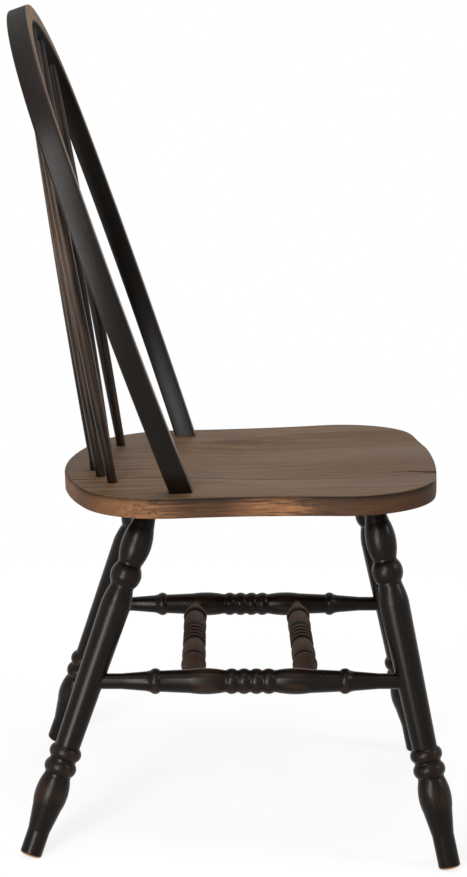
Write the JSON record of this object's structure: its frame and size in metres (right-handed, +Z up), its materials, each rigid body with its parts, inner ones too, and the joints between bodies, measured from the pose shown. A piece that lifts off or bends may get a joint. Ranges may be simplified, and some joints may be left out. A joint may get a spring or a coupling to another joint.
{
  "type": "windsor chair",
  "caption": "Hoop-back windsor side chair: saddled plank seat on raked turned legs with turned stretchers, a bent bow and straight spindles.",
  "frame": {"origin": "floor level, at the middle of the chair's overall box", "axes": "+Z up, the chair faces -Y, +X to the sitter's left"},
  "size_m": [0.497, 0.5728, 1.0033],
  "materials": {
    "brown_seat": "satin brown stain, worn",
    "dark_frame": "satin dark stain, rubbed at the edges",
    "steel_screw": "plain steel"
  },
  "bodies": {
    "root": {"seat_board_left": "brown_seat", "seat_board_middle": "brown_seat", "seat_board_right": "brown_seat", "bow": "dark_frame", "spindle_1": "dark_frame", "spindle_2": "dark_frame", "spindle_3": "dark_frame", "spindle_4": "dark_frame", "spindle_5": "dark_frame", "spindle_6": "dark_frame", "spindle_7": "dark_frame", "leg_front_left": "dark_frame", "leg_front_right": "dark_frame", "leg_rear_left": "dark_frame", "leg_rear_right": "dark_frame", "side_stretcher_left": "dark_frame", "side_stretcher_right": "dark_frame", "cross_stretcher_front": "dark_frame", "cross_stretcher_rear": "dark_frame", "bow_screws": "steel_screw"}
  },
  "joints": []
}
